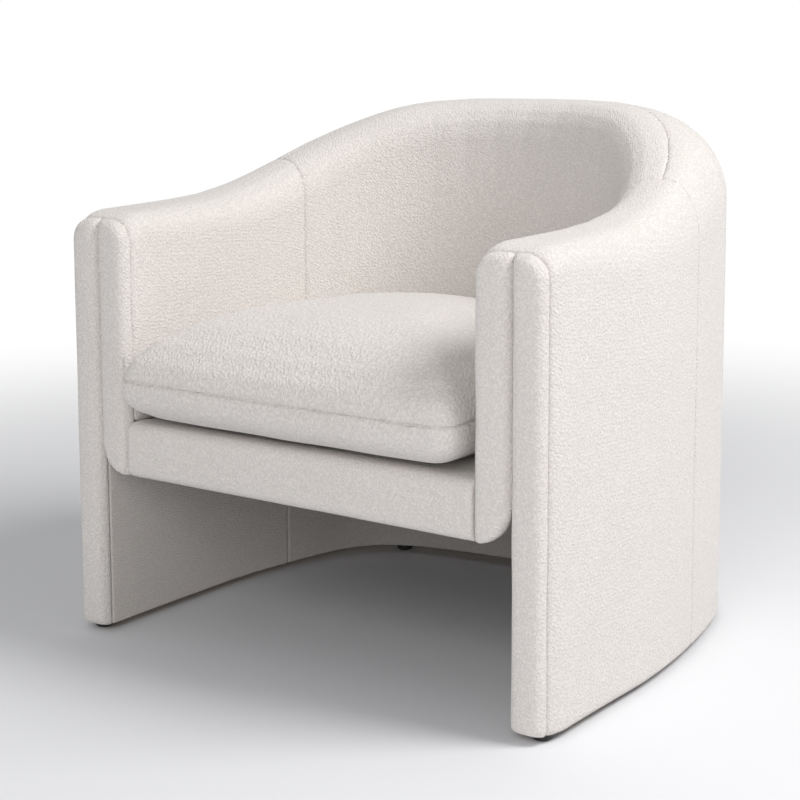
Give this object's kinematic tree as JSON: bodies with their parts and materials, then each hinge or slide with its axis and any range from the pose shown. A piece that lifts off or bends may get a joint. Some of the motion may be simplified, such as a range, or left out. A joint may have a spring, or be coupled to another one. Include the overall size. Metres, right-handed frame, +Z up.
{
  "type": "tub chair",
  "caption": "Fully upholstered barrel-shaped tub chair: slab arms that sweep up into a round back, a loose seat cushion and an open front between legs that run to the floor.",
  "frame": {"origin": "on the floor, under the middle of the chair's bounding box", "axes": "+Z up, -Y towards the open front, +X to the right of someone who faces the chair's front"},
  "size_m": [0.78, 0.73, 0.738],
  "materials": {
    "boucle": "cream boucle cloth, matte",
    "lining_cloth": "woven cream lining cloth, matte",
    "deck_cloth": "plain cream deck cloth, matte",
    "dust_cloth": "black spunbond cloth, matte",
    "foam": "polyurethane foam, matte",
    "webbing": "woven elastic webbing, matte",
    "plywood": "unfinished plywood",
    "board": "thin hardboard, unfinished",
    "glide_plastic": "black moulded plastic",
    "steel": "zinc-plated steel",
    "zip_tape": "woven zip tape with a nylon coil",
    "slider_metal": "painted die-cast zinc"
  },
  "bodies": {
    "chair": {"back_base_rail": "plywood", "back_centre_rib": "plywood", "back_left_rib": "plywood", "back_right_rib": "plywood", "back_top_rail": "plywood", "corner_blocks": "plywood", "cross_webbing": "webbing", "deck_cover": "deck_cloth", "deck_pad": "foam", "dust_cover": "dust_cloth", "front_rail_cover": "boucle", "glide_nails": "steel", "glides": "glide_plastic", "inside_back_board": "board", "inside_back_cover": "boucle", "inside_back_foam": "foam", "left_arm_cover": "boucle", "left_arm_foam": "foam", "left_arm_rail": "plywood", "left_base_rail": "plywood", "left_front_rib": "plywood", "left_inner_front_band": "boucle", "left_inside_arm_board": "board", "left_leg_lining": "lining_cloth", "left_middle_rib": "plywood", "left_outer_front_band": "boucle", "left_outside_arm_board": "board", "left_rear_rib": "plywood", "left_seat_rail": "plywood", "long_webbing": "webbing", "lower_back_lining": "lining_cloth", "outside_back_board": "board", "outside_back_cover": "boucle", "right_arm_cover": "boucle", "right_arm_foam": "foam", "right_arm_rail": "plywood", "right_base_rail": "plywood", "right_front_rib": "plywood", "right_inner_front_band": "boucle", "right_inside_arm_board": "board", "right_leg_lining": "lining_cloth", "right_middle_rib": "plywood", "right_outer_front_band": "boucle", "right_outside_arm_board": "board", "right_rear_rib": "plywood", "right_seat_rail": "plywood", "seat_back_rail": "plywood", "seat_front_rail": "plywood"},
    "seat_cushion": {"cushion_top_cover": "boucle", "cushion_lower_cover": "boucle", "cushion_foam": "foam", "cushion_zip": "zip_tape"},
    "zip_slider": {"zip_slider": "slider_metal"}
  },
  "joints": [
    {"name": "cushion_lift", "type": "slide", "parent": "chair", "child": "seat_cushion", "axis": [0, 0, 1], "range_m": [0, 0.3]},
    {"name": "zip_run", "type": "hinge", "parent": "seat_cushion", "child": "zip_slider", "pos_m": [0, -0.039, 0.367], "axis": [0, 0, 1], "range_deg": [0, 74]}
  ]
}
